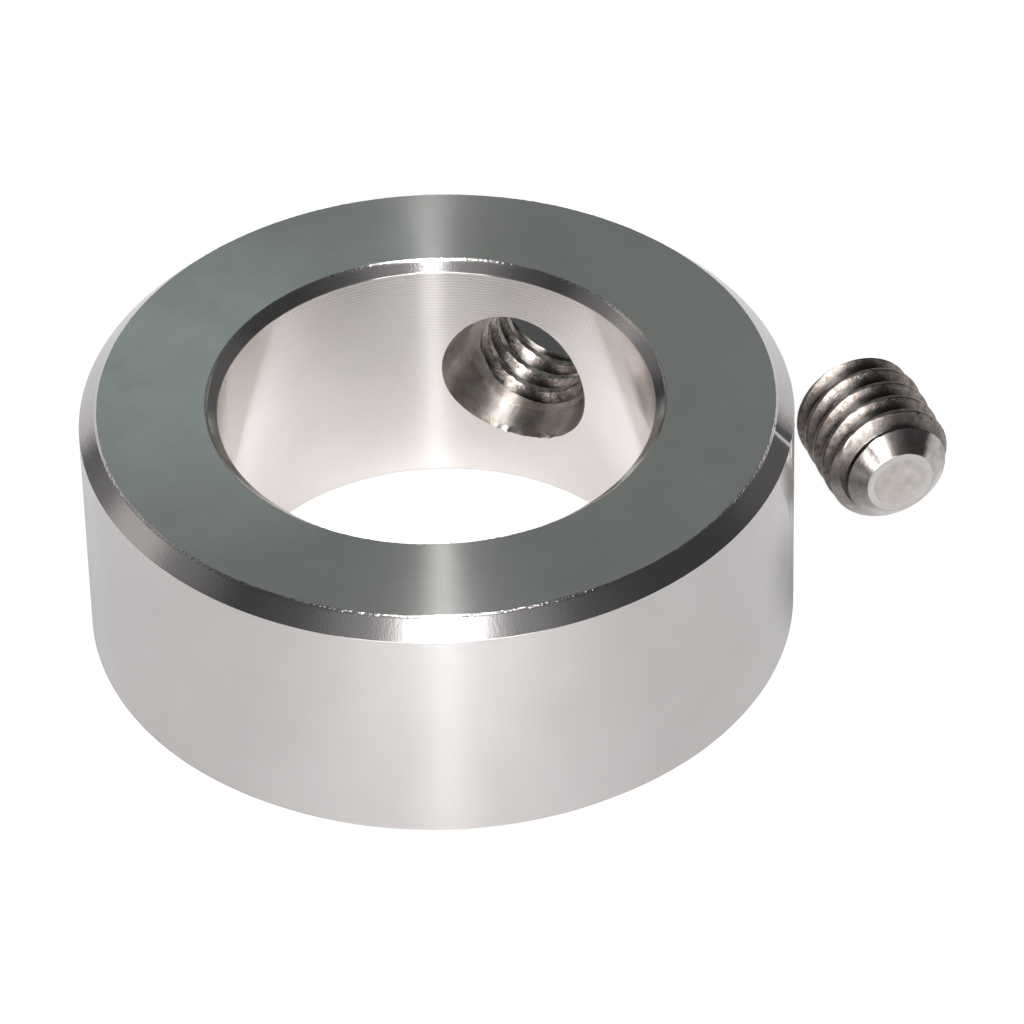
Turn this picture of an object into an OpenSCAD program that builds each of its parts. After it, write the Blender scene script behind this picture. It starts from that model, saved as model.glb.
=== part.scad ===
// A turned shaft collar with its grub screw taken out and laid beside it.
// All lengths are in millimetres. The origin is on the bore's axis at mid-width, and Z runs along the bore.

/* [Collar] */
// Bore, the size of the shaft it fits
bore_d = 25.4; // [21:0.1:27.5]
// Outside diameter
outer_d = 41.5; // [39.5:0.5:50]
// Width along the shaft
collar_w = 16.1; // [14:0.1:23]
// Chamfer on both outside edges
outer_chamfer = 1.1; // [0.3:0.05:1.7]
// Chamfer at the bore, measured across the face
bore_chamfer_r = 0.7; // [0.2:0.05:1.4]
// Chamfer at the bore, measured along the shaft
bore_chamfer_z = 0.6; // [0.2:0.05:1.4]

/* [Tapped hole] */
// Angle of the hole round the collar
hole_turn = 67; // [0:1:90]
// Height of the hole above mid-width
hole_rise = 0.2; // [-0.6:0.1:0.6]
// Width of the relief where it opens into the bore
relief_d = 8.8; // [8.2:0.1:9.7]
// Width of the relief at its inner end
relief_end_d = 8.2; // [8:0.1:8.8]
// Depth of the relief from the bore
relief_depth = 1.7; // [0.5:0.1:2.3]
// Width of the countersink on the outside
sink_d = 9; // [8:0.1:9.8]

/* [Thread] */
// Diameter over the screw's thread
thread_d = 7.75; // [6.8:0.05:7.9]
// Distance from one turn to the next
thread_pitch = 1.41; // [1:0.01:1.6]
// How much wider the hole's thread is than the screw's
thread_play = 0.19; // [0.05:0.01:0.3]

/* [Grub screw] */
// Length of the screw
screw_len = 7.8; // [6.5:0.1:14]
// Width of the flat point
point_d = 4.2; // [3:0.1:4.8]
// Width of the hollow in the point
dish_d = 3.6; // [1:0.1:3.8]
// Depth of the hollow in the point
dish_depth = 0.15; // [0.05:0.01:0.3]
// Chamfer at the socket end
end_chamfer = 0.35; // [0.1:0.05:0.6]
// Width across the flats of the hex socket
socket_flats = 3.97; // [2.5:0.01:4.3]
// Depth of the hex socket
socket_depth = 3.5; // [2:0.1:4]
// How far along the screw the thread is moved, which turns it round the screw
thread_shift = 0.51; // [0:0.01:1.4]

/* [Where the screw lies] */
// Gap between the collar and the circle that the lying screw fits in
screw_gap = 1.8; // [0.5:0.1:12]
// Angle of the screw round the collar
screw_round = 20; // [-30:0.1:50]
// Angle that the screw's point is turned from the front towards the right
screw_turn = 17; // [-60:1:60]

/* [Hidden] */
$fn = 96;

// How far a cutter runs past the face that it opens
over = 1;

bore_r = bore_d / 2;
outer_r = outer_d / 2;
half_w = collar_w / 2;

// A 60 degree thread. The tapped hole is cut at its drill size, which is where the crests of its thread stand.
thread_r = thread_d / 2;
thread_depth = 0.6134 * thread_pitch;
root_r = thread_r - thread_depth;
tap_drill_r = (thread_d + thread_play - thread_pitch) / 2;
// Half of the groove's width at the outside, where the crest keeps an eighth of the pitch
groove_half = 7 / 16 * thread_pitch;
// The cutter stands out of the thread by this much, which keeps its own turns apart
groove_out = thread_pitch / 20;
groove_steps = 40;

// A drill's point ends the relief, and the outside is sunk at 45 degrees
drill_point = tan(31);
relief_end = bore_r + relief_depth;
relief_point = (relief_end_d / 2 - tap_drill_r) * drill_point;
sink_depth = sink_d / 2 - tap_drill_r;

point_chamfer = thread_r - point_d / 2;
dish_r = (pow(dish_d / 2, 2) + pow(dish_depth, 2)) / (2 * dish_depth);
socket_r = socket_flats / 2 / cos(30);
socket_lead = 0.2;

screw_reach = norm([screw_len, thread_d]) / 2;
screw_from_axis = outer_r + screw_gap + screw_reach;

// Half of the collar's section, for turning
module collar_section() {
    polygon([
        [bore_r, -half_w + bore_chamfer_z],
        [bore_r + bore_chamfer_r, -half_w],
        [outer_r - outer_chamfer, -half_w],
        [outer_r, -half_w + outer_chamfer],
        [outer_r, half_w - outer_chamfer],
        [outer_r - outer_chamfer, half_w],
        [bore_r + bore_chamfer_r, half_w],
        [bore_r, half_w - bore_chamfer_z]
    ]);
}

// The relief, the tapping drill and the outside countersink, along +X from the bore's axis
module tapped_hole() {
    rotate([0, 90, 0]) {
        cylinder(h = outer_r + over, r = tap_drill_r);
        cylinder(h = relief_end, r1 = relief_taper_at(0), r2 = relief_end_d / 2);
        translate([0, 0, relief_end])
            cylinder(h = relief_point, r1 = relief_end_d / 2, r2 = tap_drill_r);
        translate([0, 0, outer_r - sink_depth])
            cylinder(h = sink_depth + over, r1 = tap_drill_r, r2 = tap_drill_r + sink_depth + over);
    }
}

// Radius of the relief at a distance from the bore's axis, continued towards that axis
function relief_taper_at(d) =
    relief_end_d / 2 + (relief_d - relief_end_d) / 2 * (relief_end - d) / relief_depth;

module collar_ring() {
    color([0.72, 0.72, 0.71])
        difference() {
            rotate_extrude() collar_section();
            rotate([0, 0, hole_turn]) translate([0, 0, hole_rise]) tapped_hole();
        }
}

// One section of the groove's cutter: the root inside, the open side just outside the thread
function groove_section() =
    let (flank = tan(30), out_r = thread_r + groove_out)
    [
        [root_r, -groove_half + thread_depth * flank],
        [out_r, -groove_half - groove_out * flank],
        [out_r, groove_half + groove_out * flank],
        [root_r, groove_half - thread_depth * flank]
    ];

// The cutter for a right-hand groove that runs out past both ends of a screw of this length
module thread_groove(length) {
    section = groove_section();
    sides = len(section);
    turns = ceil(length / thread_pitch) + 3;
    rings = turns * groove_steps;
    points = [
        for (i = [0:rings], p = section)
            let (a = 360 * i / groove_steps)
            [p[0] * cos(a), p[0] * sin(a), p[1] + thread_pitch * (i / groove_steps - 2)]
    ];
    faces = concat(
        [[for (k = [sides - 1:-1:0]) k]],
        [for (i = [0:rings - 1], k = [0:sides - 1])
            let (n = (k + 1) % sides, a = i * sides, b = a + sides)
            each [[a + k, a + n, b + k], [a + n, b + n, b + k]]],
        [[for (k = [0:sides - 1]) rings * sides + k]]
    );
    polyhedron(points = points, faces = faces, convexity = 12);
}

// The screw before its thread is cut, along Z with the point up
module screw_blank() {
    rotate_extrude()
        polygon([
            [0, 0],
            [thread_r - end_chamfer, 0],
            [thread_r, end_chamfer],
            [thread_r, screw_len - point_chamfer],
            [point_d / 2, screw_len],
            [0, screw_len]
        ]);
}

// The hex socket with its lead and its drilled bottom
module hex_socket() {
    translate([0, 0, -over])
        cylinder(h = socket_depth + over, r = socket_r, $fn = 6);
    translate([0, 0, -over])
        cylinder(h = over + socket_lead, r1 = socket_r + over + socket_lead / 2, r2 = socket_r - socket_lead / 2);
    translate([0, 0, socket_depth])
        cylinder(h = socket_flats / 2 * drill_point, r1 = socket_flats / 2, r2 = 0);
}

module screw_upright() {
    difference() {
        screw_blank();
        translate([0, 0, thread_shift]) thread_groove(screw_len);
        hex_socket();
        translate([0, 0, screw_len - dish_depth + dish_r]) sphere(r = dish_r);
    }
}

module grub_screw() {
    color([0.45, 0.44, 0.43])
        rotate([0, 0, screw_round])
            translate([screw_from_axis, 0, thread_r - half_w])
                rotate([0, 0, screw_turn - screw_round])
                    rotate([90, 0, 0])
                        translate([0, 0, -screw_len / 2])
                            screw_upright();
}

collar_ring();
grub_screw();
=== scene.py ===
"""A turned steel shaft collar with its grub screw laid beside it, on a pale floor under soft studio light."""

import math

import bpy
import numpy as np
from mathutils import Matrix, Vector

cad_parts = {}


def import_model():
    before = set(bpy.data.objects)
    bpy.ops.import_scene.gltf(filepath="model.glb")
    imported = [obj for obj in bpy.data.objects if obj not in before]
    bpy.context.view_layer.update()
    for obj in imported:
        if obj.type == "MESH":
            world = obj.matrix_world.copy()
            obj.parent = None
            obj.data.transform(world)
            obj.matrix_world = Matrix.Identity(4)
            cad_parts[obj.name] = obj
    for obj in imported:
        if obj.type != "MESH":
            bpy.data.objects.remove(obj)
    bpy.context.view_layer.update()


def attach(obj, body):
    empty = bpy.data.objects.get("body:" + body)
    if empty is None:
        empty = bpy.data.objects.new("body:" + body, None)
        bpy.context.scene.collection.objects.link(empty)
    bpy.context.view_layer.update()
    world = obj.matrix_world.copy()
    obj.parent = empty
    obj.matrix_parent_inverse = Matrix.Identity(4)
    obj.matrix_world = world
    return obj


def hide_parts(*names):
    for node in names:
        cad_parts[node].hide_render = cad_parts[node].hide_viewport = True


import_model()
rng = np.random.default_rng(5)

MM = 0.001
FULL_TURN = 2 * math.pi
FLOOR_Z = -8.05  # mm, the surface that both pieces lie on

# The collar in mm, as in part.scad
BORE_R, OUTER_R, HALF_W = 12.7, 20.75, 8.05
OUTER_CHAMFER, BORE_CHAMFER_R, BORE_CHAMFER_Z = 1.1, 0.7, 0.6
RING_SIDES = 720
RING_START = math.radians(0.1)  # keeps the columns off the hole's axis, where the cut would leave slivers

# The collar's edges in mm, which part.scad leaves sharp
EDGE_R = 0.05  # how far each turned edge is broken
EDGE_STEPS = 3
EDGE_HOLD = 0.02  # a close point on each side of an edge keeps the flats flat
EDGE_POINTS = EDGE_STEPS + 3
UPPER_OUTER, FACE_OUTER, FACE_INNER = 4, 5, 6  # corners of the section that carry wear
BURRS = {FACE_OUTER: 0.012, FACE_INNER: 0.024}
NICK_TURN, NICK_WIDTH, NICK_DEPTH = math.radians(349.0), math.radians(0.7), 0.08  # across the upper chamfer

# The tapped hole in mm, along its own axis from the bore's axis
HOLE_TURN, HOLE_RISE = math.radians(67.0), 0.2
HOLE_AXIS = (math.cos(HOLE_TURN), math.sin(HOLE_TURN), 0)
RELIEF_R, RELIEF_END_R, RELIEF_END = 4.4, 3.97, 14.75
SINK_R = 4.5
HOLE_START, HOLE_END, HOLE_STEP = 11.2, 21.5, 0.04
HOLE_SIDES = 180
HOLE_THREAD_SHIFT = 0.05
RAGGED_TURN, RAGGED_WIDTH = math.radians(258.0), math.radians(28.0)  # torn metal at the hole's mouth
RAGGED_SIZE, RAGGED_REACH = 0.08, 0.4

# The thread of hole and screw in mm
THREAD_R, PITCH = 3.875, 1.41
THREAD_SHIFT = 0.51  # along the screw
THREAD_SOFTNESS = 0.1  # how wide its crests and roots are rounded
ROOT_R = THREAD_R - 0.6134 * PITCH
HOLE_THREAD_R = THREAD_R + 0.095
TAP_DRILL_R = HOLE_THREAD_R - PITCH / 2
GROOVE_HALF = 7 / 16 * PITCH
FLANK = math.tan(math.radians(30.0))

# The screw in mm
SCREW_LEN, POINT_R, END_CHAMFER = 7.8, 2.1, 0.35
DISH_R, DISH_DEPTH = 1.8, 0.15
SOCKET_FLATS, SOCKET_DEPTH, SOCKET_LEAD = 3.97, 3.5, 0.2
DRILL_POINT = math.tan(math.radians(31.0))
SCREW_SIDES = 264  # a multiple of 6, so that the socket's corners fall on columns
SCREW_STEP = 0.03
SCREW_EDGE = 0.03  # how soft the edges are where the thread and the cone meet
CENTRE_R = 0.02  # the smallest ring, which a flat face closes
END_RIM = 0.45  # the socket's end face has a ring this far inside its chamfer
PROFILE_POINTS = 2001  # where the thread's rounded profile is worked out
SCREW_GAP, SCREW_ROUND, SCREW_TURN = 1.8, math.radians(20.0), math.radians(17.0)

# Which material a face takes, in the order of ring_materials() and screw_materials()
WALL, FACE, CHAMFER, BORE, TAPPED, RELIEF = range(6)
THREAD, POINT, SOCKET, HOLLOW, CONE = range(5)


# ---------- meshes ----------

def mesh_object(name, verts, faces, materials, face_material):
    """A smooth-shaded object from points in mm."""
    mesh = bpy.data.meshes.new(name)
    mesh.from_pydata((np.asarray(verts) * MM).tolist(), [], faces)
    for material in materials:
        mesh.materials.append(material)
    mesh.polygons.foreach_set("material_index", np.asarray(face_material, np.int32))
    mesh.shade_smooth()
    mesh.update()
    obj = bpy.data.objects.new(name, mesh)
    bpy.context.scene.collection.objects.link(obj)
    return obj


def grid_faces(rows, columns, wrap_rows=False):
    """Quads between rows of points whose columns run round."""
    faces = []
    for i in range(rows if wrap_rows else rows - 1):
        a, b = i * columns, (i + 1) % rows * columns
        for k in range(columns):
            n = (k + 1) % columns
            faces.append((a + k, a + n, b + n, b + k))
    return faces


def end_faces(rows, columns):
    """The two flat faces that close such a grid's first and last row."""
    last = (rows - 1) * columns
    return [tuple(range(columns))[::-1], tuple(range(last, last + columns))]


def turns(sides, start=0.0):
    """The angles of this many columns."""
    return start + np.linspace(0, FULL_TURN, sides, endpoint=False)


def fold(offset):
    """A distance along a thread as one from the nearest groove, at most half a pitch either way."""
    return (offset + PITCH / 2) % PITCH - PITCH / 2


def rounded_corner(before, here, after):
    """The points that round one corner of a section, with a close point on each side."""
    before, after = before - here, after - here
    before, after = before / np.linalg.norm(before), after / np.linalg.norm(after)
    turn = math.acos(np.clip(-before @ after, -1, 1))
    reach = EDGE_R * math.tan(turn / 2)
    middle = before + after
    centre = here + middle / np.linalg.norm(middle) * EDGE_R / math.cos(turn / 2)
    start, end = here + before * reach, here + after * reach
    a0 = math.atan2(*(start - centre)[::-1])
    a1 = math.atan2(*(end - centre)[::-1])
    a1 = a0 + (a1 - a0 + math.pi) % FULL_TURN - math.pi
    angles = np.linspace(a0, a1, EDGE_STEPS + 1)
    arc = [centre + EDGE_R * np.array([math.cos(a), math.sin(a)]) for a in angles]
    return [start + before * EDGE_HOLD, *arc, end + after * EDGE_HOLD]


def ring_section():
    """The collar's section with its edges broken, and the material of each of its sides."""
    z, c = HALF_W, OUTER_CHAMFER
    corners = [  # each corner with the material of the side that follows it
        (BORE_R, -z + BORE_CHAMFER_Z, CHAMFER),
        (BORE_R + BORE_CHAMFER_R, -z, FACE),
        (OUTER_R - c, -z, CHAMFER),
        (OUTER_R, -z + c, WALL),
        (OUTER_R, z - c, CHAMFER),
        (OUTER_R - c, z, FACE),
        (BORE_R + BORE_CHAMFER_R, z, CHAMFER),
        (BORE_R, z - BORE_CHAMFER_Z, BORE),
    ]
    places = [np.array(corner[:2]) for corner in corners]
    points = []
    for i, here in enumerate(places):
        points += rounded_corner(places[i - 1], here, places[(i + 1) % len(places)])
    return np.array(points), np.repeat([corner[2] for corner in corners], EDGE_POINTS)


def ring_blank(materials):
    """The turned ring before its hole."""
    section, zones = ring_section()
    turn = turns(RING_SIDES, RING_START)
    radius = np.repeat(section[:, :1], RING_SIDES, axis=1)
    for corner, size in BURRS.items():  # the chamfering tool leaves small burrs
        first = corner * EDGE_POINTS
        burrs = np.clip(rng.normal(0, size, RING_SIDES), -2 * size, 2 * size)
        radius[first + 2:first + EDGE_POINTS - 2] += burrs  # the ends of the round stay true, and so do the flats
    nick = NICK_DEPTH * np.exp(-((turn - NICK_TURN) / NICK_WIDTH) ** 2)
    radius[UPPER_OUTER * EDGE_POINTS:FACE_INNER * EDGE_POINTS] -= nick
    height = np.repeat(section[:, 1:], RING_SIDES, axis=1)
    verts = np.stack([radius * np.cos(turn), radius * np.sin(turn), height], axis=-1)
    faces = grid_faces(len(section), RING_SIDES, wrap_rows=True)
    return mesh_object("collar_turned", verts.reshape(-1, 3), faces, materials, np.repeat(zones, RING_SIDES))


def hole_radius(along, turn):
    """How wide the hole is at each distance along it and each angle round it."""
    taper = (RELIEF_R - RELIEF_END_R) / (RELIEF_END - BORE_R)
    relief = np.where(along < RELIEF_END, RELIEF_END_R + taper * (RELIEF_END - along), TAP_DRILL_R)
    torn = np.abs(rng.normal(0, RAGGED_SIZE, HOLE_SIDES)) * np.exp(-((turn - RAGGED_TURN) / RAGGED_WIDTH) ** 2)
    relief = relief + torn * np.clip((BORE_R + RAGGED_REACH - along) / RAGGED_REACH, 0, 1)
    sink = SINK_R + along - OUTER_R
    offset = fold(along - HOLE_THREAD_SHIFT - PITCH * turn / FULL_TURN)
    groove = np.clip(HOLE_THREAD_R - (np.abs(offset) - PITCH / 16) / FLANK, TAP_DRILL_R, HOLE_THREAD_R)
    return np.maximum.reduce([relief, sink, groove])


def hole_cutter(materials):
    """The relief, the thread and the outside countersink as one closed form."""
    s = np.arange(HOLE_START, HOLE_END, HOLE_STEP)
    turn = turns(HOLE_SIDES)
    along = s[:, None] + 0 * turn
    radius = hole_radius(along, turn)
    side = np.array([-HOLE_AXIS[1], HOLE_AXIS[0], 0])
    up = np.array([0, 0, 1])
    verts = (
        along[..., None] * np.array(HOLE_AXIS)
        + (radius * np.cos(turn))[..., None] * side
        + (radius * np.sin(turn))[..., None] * up
        + HOLE_RISE * up
    ).reshape(-1, 3)
    faces = grid_faces(len(s), HOLE_SIDES) + end_faces(len(s), HOLE_SIDES)
    zones = [*np.repeat(np.where(s[:-1] < RELIEF_END, RELIEF, TAPPED), HOLE_SIDES), RELIEF, TAPPED]
    return mesh_object("hole_cutter", verts, faces, materials, zones)


def cut(obj, cutter):
    """Takes the cutter's form out of the object for good."""
    modifier = obj.modifiers.new("cut", "BOOLEAN")
    modifier.operation, modifier.solver, modifier.object = "DIFFERENCE", "EXACT", cutter
    made = bpy.data.meshes.new_from_object(obj.evaluated_get(bpy.context.evaluated_depsgraph_get()))
    obj.modifiers.clear()
    obj.data = made
    bpy.data.objects.remove(cutter)


def thread_profile(offset):
    """Radius of the screw's thread at a distance along it from the middle of its groove."""
    x = np.linspace(-PITCH, PITCH, PROFILE_POINTS)
    sharp = np.clip(THREAD_R + (np.abs(fold(x)) - GROOVE_HALF) / FLANK, ROOT_R, THREAD_R)
    kernel = np.hanning((int(THREAD_SOFTNESS / (x[1] - x[0])) | 1) + 2)
    soft = np.convolve(sharp, kernel / kernel.sum(), "same")
    return np.interp(np.abs(fold(offset)), x, soft)


def socket_rings(turn):
    """Rings of (radius by column, height, material) from the bottom of the socket to the screw's end face."""
    flat_r = SOCKET_FLATS / 2
    hex_r = flat_r / np.cos((turn % (math.pi / 3)) - math.pi / 6)
    for r in np.linspace(CENTRE_R, flat_r - EDGE_HOLD / 2, 6):
        yield r, SOCKET_DEPTH + (flat_r - r) * DRILL_POINT, SOCKET
    yield hex_r, SOCKET_DEPTH, SOCKET
    for h in np.linspace(SOCKET_DEPTH - EDGE_HOLD, SOCKET_LEAD + EDGE_HOLD, 8):
        yield hex_r, h, SOCKET
    yield hex_r, SOCKET_LEAD / 2, SOCKET
    yield hex_r + SOCKET_LEAD / 2, 0.0, POINT
    yield THREAD_R - END_CHAMFER - END_RIM, 0.0, POINT


def thread_rings(turn):
    """Rings along the outside of the screw, where the thread cuts into the blank and its cone."""
    for h in np.arange(0.0, SCREW_LEN + SCREW_STEP / 2, SCREW_STEP):
        h = min(h, SCREW_LEN)
        blank = min(THREAD_R, THREAD_R - END_CHAMFER + h, POINT_R + SCREW_LEN - h)
        thread = thread_profile(h - THREAD_SHIFT - PITCH * turn / FULL_TURN)
        both = -np.logaddexp(-blank / SCREW_EDGE, -thread / SCREW_EDGE) * SCREW_EDGE
        yield both, h, np.where((h > SCREW_LEN / 2) & (blank < thread), CONE, THREAD)


def point_rings():
    """Rings across the flat point and its hollow."""
    for r in np.linspace(POINT_R - SCREW_EDGE, DISH_R, 4):
        yield r, SCREW_LEN, POINT
    for r in np.linspace(DISH_R, CENTRE_R, 14)[1:]:
        yield r, SCREW_LEN - DISH_DEPTH * (1 - (r / DISH_R) ** 2), HOLLOW


def screw_mesh(materials):
    """The screw as one closed surface from the bottom of its socket to the hollow in its point."""
    turn = turns(SCREW_SIDES)
    rings = [*socket_rings(turn), *thread_rings(turn), *point_rings()]
    verts = np.array([
        np.stack([r * np.cos(turn), r * np.sin(turn), np.full_like(turn, h)], axis=-1) for r, h, _ in rings
    ]).reshape(-1, 3)
    matrix = screw_matrix()
    verts = verts @ np.array(matrix.to_3x3()).T + np.array(matrix.translation)
    faces = grid_faces(len(rings), SCREW_SIDES) + end_faces(len(rings), SCREW_SIDES)
    zones = [np.broadcast_to(zone, turn.shape) for _, _, zone in rings[:-1]]
    return mesh_object("screw_turned", verts, faces, materials, [*np.concatenate(zones), SOCKET, HOLLOW])


def screw_matrix():
    """Where the screw lies, in mm: its local Z runs from its socket end to its point."""
    reach = math.hypot(SCREW_LEN, 2 * THREAD_R) / 2
    from_axis = OUTER_R + SCREW_GAP + reach
    return (
        Matrix.Rotation(SCREW_ROUND, 4, "Z")
        @ Matrix.Translation((from_axis, 0, FLOOR_Z + THREAD_R))
        @ Matrix.Rotation(SCREW_TURN - SCREW_ROUND, 4, "Z")
        @ Matrix.Rotation(math.radians(90), 4, "X")
        @ Matrix.Translation((0, 0, -SCREW_LEN / 2))
    )


# ---------- shader nodes ----------

def node(tree, kind, inputs=None, **settings):
    """A shader node with its inputs set to values or linked to sockets."""
    made = tree.nodes.new(kind)
    for key, value in settings.items():
        setattr(made, key, value)
    for key, value in (inputs or {}).items():
        if isinstance(value, bpy.types.NodeSocket):
            tree.links.new(value, made.inputs[key])
        else:
            made.inputs[key].default_value = value
    return made


def math_node(tree, operation, *values):
    return node(tree, "ShaderNodeMath", dict(enumerate(values)), operation=operation).outputs[0]


def vector_node(tree, operation, *values):
    made = node(tree, "ShaderNodeVectorMath", dict(enumerate(values)), operation=operation)
    return made.outputs["Value" if operation in ("DOT_PRODUCT", "LENGTH") else "Vector"]


def remap(tree, value, low, high, from_low=0.3, from_high=0.7):
    """A value taken from one range to another. The range that it comes from is a noise's unless it is given."""
    return node(tree, "ShaderNodeMapRange", {
        "Value": value, "From Min": from_low, "From Max": from_high, "To Min": low, "To Max": high,
    }).outputs["Result"]


def patch(tree, place, middle, low, high, near, far):
    """A value that goes from low to high between two distances from a point."""
    away = vector_node(tree, "LENGTH", vector_node(tree, "SUBTRACT", place, middle))
    return remap(tree, away, low, high, near, far)


def noise(tree, place, size, detail=2.0, roughness=0.5):
    return node(tree, "ShaderNodeTexNoise", {
        "Vector": place, "Scale": 1 / size, "Detail": detail, "Roughness": roughness,
    }).outputs["Fac"]


def blend(tree, factor, first, second):
    """A mix of two colours, each a socket or three numbers."""
    made = tree.nodes.new("ShaderNodeMix")
    made.data_type = "RGBA"
    for index, value in ((0, factor), (6, first), (7, second)):
        if isinstance(value, bpy.types.NodeSocket):
            tree.links.new(value, made.inputs[index])
        else:
            made.inputs[index].default_value = (*value, 1.0)
    return made.outputs[2]


def new_tree(owner):
    """The empty node tree of a material or a world."""
    owner.use_nodes = True
    owner.node_tree.nodes.clear()
    return owner.node_tree


# ---------- steel ----------

TEAR_SIZE, TEAR_HEIGHT, TEAR_REACH = 0.18, 0.06, 0.16  # mm
STAIN_TINT = (0.94, 1.0, 1.06)  # how much of red, green and blue a stain takes, which leaves it a little brown
ROOT_SHADE_LEVEL = 0.3  # how much of the steel's colour the shade painted into its roots keeps
FEED_DRIFT = 12.0  # how many radians a boring tool's line strays

STEEL = (0.53, 0.51, 0.505)
BORED = (0.73, 0.695, 0.68)
TAPPED_STEEL, DRILLED = (0.42, 0.39, 0.365), (0.46, 0.43, 0.41)
ROLLED = (0.35, 0.315, 0.295)
UPRIGHT = ((1, 0, 0), (0, 1, 0), (0, 0, 1))
HOLE_BASIS = ((-HOLE_AXIS[1], HOLE_AXIS[0], 0), (0, 0, 1), HOLE_AXIS)
RING_CENTRE, HOLE_CENTRE = (0, 0, 0), (0, 0, HOLE_RISE)


def turned_coordinates(tree, centre, basis):
    """Sockets for a turned surface: how far along its axis, how far from it, the unit vector away from it in
    its own axes, and the tangent that runs across its tool marks. Lengths are in mm."""
    place = node(tree, "ShaderNodeTexCoord").outputs["Object"]
    place = vector_node(tree, "MULTIPLY", place, (1 / MM,) * 3)
    place = vector_node(tree, "SUBTRACT", place, tuple(centre))
    x, y, along = (vector_node(tree, "DOT_PRODUCT", place, tuple(v)) for v in basis)
    flat = node(tree, "ShaderNodeCombineXYZ", {"X": x, "Y": y}).outputs[0]
    radius = vector_node(tree, "LENGTH", flat)
    away = vector_node(tree, "NORMALIZE", flat)
    round_it = vector_node(tree, "CROSS_PRODUCT", tuple(basis[2]), place)
    normal = node(tree, "ShaderNodeNewGeometry").outputs["Normal"]
    across = vector_node(tree, "NORMALIZE", vector_node(tree, "CROSS_PRODUCT", normal, round_it))
    return along, radius, away, across


def marks(tree, coordinates, round_scale, across_scale, detail=2.0, shift=0.0):
    """Noise stretched round the axis, as a tool leaves it. Scales are per mm across, and per radius round."""
    along, radius, away, _ = coordinates
    across = math_node(tree, "MULTIPLY_ADD", radius, 1.618, along)  # faces and walls both get their marks
    across = math_node(tree, "MULTIPLY_ADD", across, across_scale, shift)
    rim = vector_node(tree, "SCALE", away)
    rim.node.inputs["Scale"].default_value = round_scale
    lifted = node(tree, "ShaderNodeCombineXYZ", {"Z": across}).outputs[0]
    return noise(tree, vector_node(tree, "ADD", rim, lifted), 1.0, detail, 0.6)


def feed_marks(tree, coordinates, pitch, height):
    """The fine regular screw line that a boring tool leaves, a little uneven."""
    along, radius, _, _ = coordinates
    drift = math_node(tree, "MULTIPLY", marks(tree, coordinates, 1.5, 0.2), FEED_DRIFT)
    phase = math_node(tree, "MULTIPLY_ADD", along, FULL_TURN / pitch, drift)
    phase = math_node(tree, "MULTIPLY_ADD", radius, FULL_TURN / pitch, phase)
    return math_node(tree, "MULTIPLY", math_node(tree, "SINE", phase), height / 2 * MM)


def torn_edge(tree, coordinates, place, edge):
    """Small tears near the edge at this radius."""
    tears = noise(tree, place, TEAR_SIZE * MM)
    off = math_node(tree, "ABSOLUTE", math_node(tree, "SUBTRACT", coordinates[1], edge))
    return math_node(tree, "MULTIPLY", tears, remap(tree, off, TEAR_HEIGHT * MM, 0.0, 0.0, TEAR_REACH))


def steel_height(tree, coordinates, place, long_marks, lines, grains, feed, specks, torn):
    """Everything that stands out of the steel or dents it, in metres."""
    short_marks = marks(tree, coordinates, 90.0, 1 / grains[0], detail=1.0, shift=40.0)
    height = math_node(tree, "MULTIPLY", long_marks, lines[1] * MM)
    height = math_node(tree, "MULTIPLY_ADD", short_marks, grains[1] * MM, height)
    if feed:
        height = math_node(tree, "ADD", height, feed_marks(tree, coordinates, *feed))
    if specks:
        dents = noise(tree, place, specks[0] * MM, 2.0, 0.7)
        height = math_node(tree, "MULTIPLY_ADD", dents, specks[1] * MM, height)
    for edge in torn:
        height = math_node(tree, "ADD", height, torn_edge(tree, coordinates, place, edge))
    return height


def steel_colour(tree, coordinates, place, colour, stain, stain_size, painted_sheen, painted_root_shade):
    """The steel's colour with its stains, a painted reflection and shade painted into its roots."""
    cloud = noise(tree, place, stain_size * MM, 4.0, 0.6)
    stained = [c * (1 - stain * tint) for c, tint in zip(colour, STAIN_TINT)]
    base = blend(tree, remap(tree, cloud, 0.0, 1.0), stained, colour)
    # a painted reflection: a lighter tint round a middle on the surface
    if painted_sheen:
        middle, near, far, tint = painted_sheen
        painted_sheen_mask = patch(tree, place, [v * MM for v in middle], 1.0, 0.0, near * MM, far * MM)
        painted_sheen_mask = math_node(tree, "MULTIPLY", painted_sheen_mask, remap(tree, cloud, 0.6, 1.0))
        base = blend(tree, painted_sheen_mask, base, tint)
    # painted shade: darker from the crest's radius to the root's
    if painted_root_shade:
        root_shade_mask = remap(tree, coordinates[1], 0.0, 1.0, *painted_root_shade)
        base = blend(tree, root_shade_mask, base, [c * ROOT_SHADE_LEVEL for c in colour])
    return base


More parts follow.
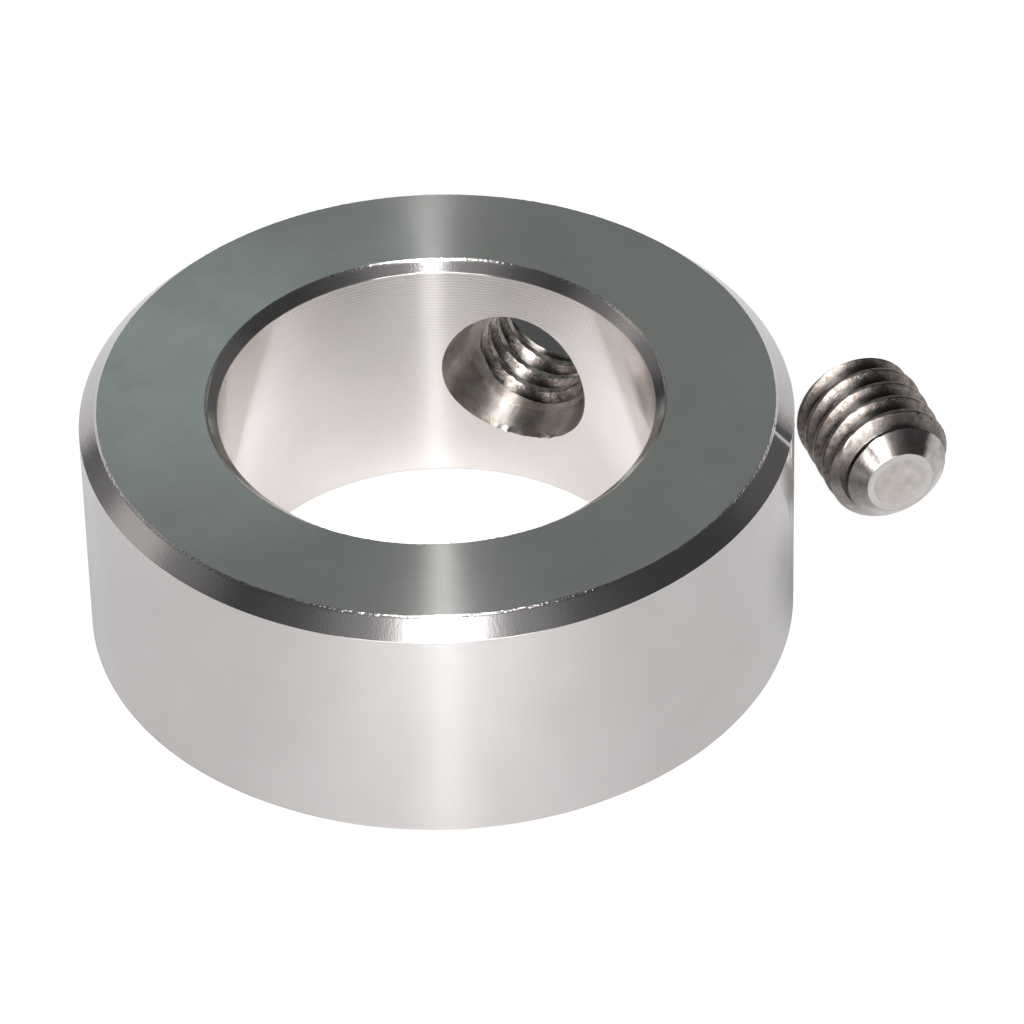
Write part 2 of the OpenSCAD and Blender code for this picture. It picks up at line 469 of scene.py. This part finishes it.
def turned_steel(name, centre, basis, colour, roughness, anisotropy, lines, grains, feed=None, specks=None,
                 stain=0.06, stain_size=5.5, painted_sheen=None, painted_root_shade=None, torn=()):
    """Bright steel with tool marks that run round an axis.
    lines, grains and specks, which are small dents, are (size in mm, height in mm), and feed is (pitch in mm,
    height in mm). The painted reflection, a lighter tint round a middle, is (middle, radius of its full part,
    radius where it ends, colour); the shade painted into the roots is (radius where the crest is unshaded, radius
    of the darkest root); and torn holds the radii of edges with small tears along them."""
    material = bpy.data.materials.new(name)
    tree = new_tree(material)
    coordinates = turned_coordinates(tree, centre, basis)
    place = node(tree, "ShaderNodeTexCoord").outputs["Object"]
    long_marks = marks(tree, coordinates, 2.0, 1 / lines[0])
    height = steel_height(tree, coordinates, place, long_marks, lines, grains, feed, specks, torn)
    bump = node(tree, "ShaderNodeBump", {"Strength": 1.0, "Distance": 1.0, "Height": height})
    shader = node(tree, "ShaderNodeBsdfPrincipled", {
        "Base Color": steel_colour(tree, coordinates, place, colour, stain, stain_size, painted_sheen, painted_root_shade),
        "Metallic": 1.0,
        "Roughness": remap(tree, long_marks, roughness * 0.88, roughness * 1.12),
        "Anisotropic": anisotropy,
        "Tangent": coordinates[3],
        "Normal": bump.outputs["Normal"],
    })
    node(tree, "ShaderNodeOutputMaterial", {"Surface": shader.outputs[0]})
    return material


def ring_materials():
    return [
        turned_steel("turned_wall", RING_CENTRE, UPRIGHT, STEEL, roughness=0.18, anisotropy=1.0,
                     lines=(0.04, 0.0006), grains=(0.05, 0.0008)),
        turned_steel("turned_face", RING_CENTRE, UPRIGHT, STEEL, roughness=0.2, anisotropy=1.0,
                     lines=(0.04, 0.001), grains=(0.05, 0.0016), stain=0.1,
                     # painted reflection: a lighter, bluish tint on the left and back of the upper face
                     painted_sheen=((-15, 5, HALF_W), 5, 20, (0.76, 0.82, 0.83))),
        turned_steel("turned_chamfer", RING_CENTRE, UPRIGHT, STEEL, roughness=0.08, anisotropy=0.2,
                     lines=(0.1, 0.001), grains=(0.2, 0.002), specks=(0.1, 0.005),
                     torn=(BORE_R + BORE_CHAMFER_R, OUTER_R - OUTER_CHAMFER)),
        turned_steel("bored_wall", RING_CENTRE, UPRIGHT, BORED, roughness=0.18, anisotropy=1.0,
                     lines=(0.04, 0.0006), grains=(0.05, 0.0008), feed=(0.2, 0.003)),
        turned_steel("tapped_wall", HOLE_CENTRE, HOLE_BASIS, TAPPED_STEEL, roughness=0.24, anisotropy=0.9,
                     lines=(0.1, 0.001), grains=(0.08, 0.002), specks=(0.12, 0.012), stain=0.7,
                     # painted shade in the thread's roots
                     stain_size=0.5, painted_root_shade=(TAP_DRILL_R + 0.2, HOLE_THREAD_R)),
        turned_steel("relief_wall", HOLE_CENTRE, HOLE_BASIS, DRILLED, roughness=0.4, anisotropy=0.9,
                     lines=(0.12, 0.004), grains=(0.08, 0.003), specks=(0.15, 0.012), stain=0.6,
                     stain_size=1.2),
    ]


def screw_materials():
    matrix = screw_matrix()
    centre, basis = tuple(matrix.translation), [tuple(matrix.to_3x3().col[i]) for i in range(3)]
    return [
        turned_steel("rolled_thread", centre, basis, ROLLED, roughness=0.22, anisotropy=0.8,
                     lines=(0.1, 0.002), grains=(0.08, 0.004), specks=(0.09, 0.02), stain=0.7,
                     # painted shade in the thread's roots
                     stain_size=0.4, painted_root_shade=(THREAD_R - 0.15, ROOT_R + 0.1)),
        turned_steel("turned_point", centre, basis, (0.62, 0.595, 0.585), roughness=0.2, anisotropy=0.4,
                     lines=(0.1, 0.001), grains=(0.08, 0.001), specks=(0.12, 0.002), stain=0.15,
                     stain_size=1.5),
        turned_steel("broached_socket", centre, basis, ROLLED, roughness=0.3, anisotropy=0.3,
                     lines=(0.1, 0.001), grains=(0.08, 0.001)),
        turned_steel("point_hollow", centre, basis, (0.6, 0.56, 0.54), roughness=0.3, anisotropy=0.2,
                     lines=(0.2, 0.004), grains=(0.3, 0.004), specks=(0.2, 0.005), stain=0.3,
                     stain_size=1.0),
        turned_steel("turned_cone", centre, basis, (0.52, 0.485, 0.47), roughness=0.17, anisotropy=0.4,
                     lines=(0.1, 0.002), grains=(0.08, 0.002), specks=(0.12, 0.005), stain=0.45,
                     stain_size=0.9),
    ]


# ---------- floor, light and camera ----------

FLOOR_HALF = 1500.0  # mm
MIDDLE = (0, 0, 0)  # mm, like the other places on the floor
PAINTED_SHADOW_MIDDLE = (0, 0.8 * OUTER_R, 0)  # middle of a shadow painted on the floor behind the collar
# middle of painted light in front of the collar, which only the steel's reflections see
PAINTED_LIGHT_IN_FRONT = (0, -2.4 * OUTER_R, 0)
PAINTED_SHADE_BETWEEN = (22.5, 2.5, 0)  # middle of painted shade between the collar and the screw, which only the steel's reflections see


def painted_floor_shadow(tree, place):
    """1 in a soft shadow painted behind the collar, and 0 elsewhere."""
    outside = patch(tree, place, MIDDLE, 0.0, 1.0, 15.0, 19.0)
    return math_node(tree, "MULTIPLY", outside, patch(tree, place, PAINTED_SHADOW_MIDDLE, 1.0, 0.0, 13.0, 17.0))


def painted_floor_reflection(tree, place):
    """Painted light and shade that only the steel's reflections see of the floor: dim at the front of the bore,
    close to the collar and between the collar and the screw, and brighter at the bore's back, further out and in
    front."""
    back = node(tree, "ShaderNodeSeparateXYZ", {0: place}).outputs["Y"]
    rise, far_rise = remap(tree, back, 0.15, 0.43, -4.0, 3.0), remap(tree, back, 0.0, 0.3, 8.5, 12.5)
    inside = math_node(tree, "ADD", rise, far_rise)
    inside = math_node(tree, "MULTIPLY", inside, patch(tree, place, MIDDLE, 1.0, 0.0, 15.0, 19.0))
    glow = math_node(tree, "MAXIMUM", inside, patch(tree, place, MIDDLE, 0.32, 0.52, 21.0, 36.0))
    glow = math_node(tree, "ADD", glow, patch(tree, place, PAINTED_LIGHT_IN_FRONT, 0.48, 0.0, 6.0, 36.0))
    return math_node(tree, "MULTIPLY", glow, patch(tree, place, PAINTED_SHADE_BETWEEN, 0.2, 1.0, 2.0, 6.0))


def floor():
    """A pale sheet. What the camera sees of it unshadowed is white, and it keeps the shadow. A shadow is painted
    on it behind the collar, and the steel's reflections see painted light and shade on it.
    """
    material = bpy.data.materials.new("pale_floor")
    tree = new_tree(material)
    paths = node(tree, "ShaderNodeLightPath").outputs
    place = node(tree, "ShaderNodeTexCoord").outputs["Object"]
    place = vector_node(tree, "MULTIPLY", place, (1 / MM, 1 / MM, 0))
    # A shadow is painted behind the collar: it dims the camera's white and darkens the floor's colour there.
    shade = painted_floor_shadow(tree, place)
    seen = math_node(tree, "MULTIPLY", paths["Is Camera Ray"], remap(tree, shade, 0.8, 0.0, 0.0, 1.0))
    # Painted light and shade, which only the steel's reflections see.
    painted_reflected_light = math_node(tree, "MULTIPLY", paths["Is Glossy Ray"], painted_floor_reflection(tree, place))
    colour = blend(tree, shade, (0.9, 0.9, 0.9), (0.4, 0.4, 0.4))
    diffuse = node(tree, "ShaderNodeBsdfDiffuse", {"Color": colour})
    light = node(tree, "ShaderNodeEmission", {"Strength": math_node(tree, "ADD", seen, painted_reflected_light)})
    both = node(tree, "ShaderNodeAddShader", {0: diffuse.outputs[0], 1: light.outputs[0]})
    node(tree, "ShaderNodeOutputMaterial", {"Surface": both.outputs[0]})
    corners = [(x * FLOOR_HALF, y * FLOOR_HALF, FLOOR_Z) for x, y in ((-1, -1), (1, -1), (1, 1), (-1, 1))]
    mesh_object("floor", corners, [(0, 1, 2, 3)], [material], [0])


def area_light(name, azimuth, elevation, distance, width, height, radiance):
    """A soft light aimed at the collar. Azimuth 0 is the camera's side and 90 is the right; lengths are in mm."""
    a, e = math.radians(azimuth), math.radians(elevation)
    back = Vector((math.sin(a) * math.cos(e), -math.cos(a) * math.cos(e), math.sin(e)))
    data = bpy.data.lights.new(name, "AREA")
    data.shape, data.size, data.size_y = "RECTANGLE", width * MM, height * MM
    data.energy = radiance * math.pi * width * height * MM * MM
    lamp = bpy.data.objects.new(name, data)
    lamp.location = back * distance * MM
    lamp.rotation_mode = "QUATERNION"
    lamp.rotation_quaternion = back.to_track_quat("Z", "Y")
    lamp.visible_camera = False
    bpy.context.scene.collection.objects.link(lamp)
    return lamp


def lamps():
    # azimuth, elevation, distance, width, height and radiance
    area_light("softbox", 0, 48, 580, 40, 200, 2.5)
    area_light("high_softbox", 0, 61, 590, 50, 120, 3.0)
    flash = area_light("flash", 0.4, 48, 170, 4.7, 4.7, 10400.0)
    flash.visible_diffuse = False  # it draws the streaks on the steel and leaves the floor alone
    area_light("front_panel", 0, 17, 690, 700, 230, 8.0)


ROOM = (0.075, 0.075, 0.078)
HORIZON = (0.85, 0.85, 0.85)
BOARD, SOFT_LIGHT = (0, 0.777, 0.63), (0, -0.682, 0.731)  # directions from the collar
WINDOW, RIGHT_WINDOW = (-0.892, 0.25, 0.375), (0.75, 0.62, 0.2)
GLOWS = (  # direction, cosine of the angle from it where the light starts and where it is full, and its colour
    (BOARD, 0.72, 0.9, (0.215, 0.25, 0.23)),
    (SOFT_LIGHT, 0.965, 0.993, (1.3, 1.3, 1.3)),
    (SOFT_LIGHT, 0.82, 0.99, (0.3, 0.3, 0.3)),
    (SOFT_LIGHT, 0.6, 0.9, (0.07, 0.07, 0.07)),
    (WINDOW, 0.97, 0.998, (0.4, 0.38, 0.37)),
    (WINDOW, 0.8, 0.99, (0.22, 0.215, 0.215)),
    (RIGHT_WINDOW, 0.82, 0.99, (0.08, 0.078, 0.074)),
)


def glow_towards(tree, way, direction, outer, inner, colour):
    """Light of this colour round a direction, which fades out between two cosines of the angle from it."""
    near = vector_node(tree, "DOT_PRODUCT", way, tuple(Vector(direction).normalized()))
    factor = node(tree, "ShaderNodeMapRange", {
        "Value": near, "From Min": outer, "From Max": inner, "To Min": 0.0, "To Max": 1.0,
    }, interpolation_type="SMOOTHSTEP").outputs["Result"]
    return blend(tree, factor, (0, 0, 0), colour)


def world():
    """A dim room with a grey-green board behind the collar, soft light high in front, a window low on the left,
    its faint echo on the right and a pale horizon."""
    made = bpy.data.worlds.new("grey_room")
    tree = new_tree(made)
    way = node(tree, "ShaderNodeTexCoord").outputs["Generated"]
    height = node(tree, "ShaderNodeSeparateXYZ", {0: way}).outputs["Z"]
    light = blend(tree, remap(tree, height, 1.0, 0.0, 0.03, 0.06), ROOM, HORIZON)
    for glow in GLOWS:
        light = vector_node(tree, "ADD", light, glow_towards(tree, way, *glow))
    shader = node(tree, "ShaderNodeBackground", {"Color": light, "Strength": 1.0})
    node(tree, "ShaderNodeOutputWorld", {"Surface": shader.outputs[0]})
    bpy.context.scene.world = made


CAMERA_LENS, CAMERA_SENSOR = 255.6, 36.0  # mm
CAMERA_NEAR, CAMERA_END = 0.01, 10.0  # m, what it can see lies between these
CAMERA_FAR, CAMERA_ELEVATION = 425.9, math.radians(39.059)
CAMERA_ROLL, CAMERA_YAW, CAMERA_PITCH = (math.radians(v) for v in (-1.880, -0.5691, -0.0723))


def camera():
    """The photograph's long lens, aimed a little off the collar's middle."""
    e = CAMERA_ELEVATION
    forward = Vector((0, math.cos(e), -math.sin(e)))
    right = Vector((1, 0, 0))
    base = Matrix((right, forward.cross(right), forward))
    cy, sy = math.cos(CAMERA_YAW), math.sin(CAMERA_YAW)
    cp, sp = math.cos(CAMERA_PITCH), math.sin(CAMERA_PITCH)
    cr, sr = math.cos(CAMERA_ROLL), math.sin(CAMERA_ROLL)
    yaw = Matrix(((cy, 0, sy), (0, 1, 0), (-sy, 0, cy)))
    pitch = Matrix(((1, 0, 0), (0, cp, sp), (0, -sp, cp)))
    roll = Matrix(((cr, -sr, 0), (sr, cr, 0), (0, 0, 1)))
    right, down, forward = roll @ pitch @ yaw @ base
    data = bpy.data.cameras.new("camera")
    data.lens, data.sensor_width = CAMERA_LENS, CAMERA_SENSOR
    data.clip_start, data.clip_end = CAMERA_NEAR, CAMERA_END
    made = bpy.data.objects.new("camera", data)
    turn = Matrix((right, -down, -forward)).transposed()
    place = Vector((0, -math.cos(e), math.sin(e))) * CAMERA_FAR * MM
    made.matrix_world = Matrix.Translation(place) @ turn.to_4x4()
    bpy.context.scene.collection.objects.link(made)
    bpy.context.scene.camera = made


# ---------- the scene ----------

camera()
world()
floor()
lamps()

metal = ring_materials()
collar = ring_blank(metal)
cut(collar, hole_cutter(metal))
collar.data.set_sharp_from_angle(angle=math.radians(35))
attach(collar, "root")
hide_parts("collar_ring")

screw = screw_mesh(screw_materials())
screw.data.set_sharp_from_angle(angle=math.radians(50))
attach(screw, "root")
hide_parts("grub_screw")

bpy.context.scene.view_settings.view_transform = "Standard"
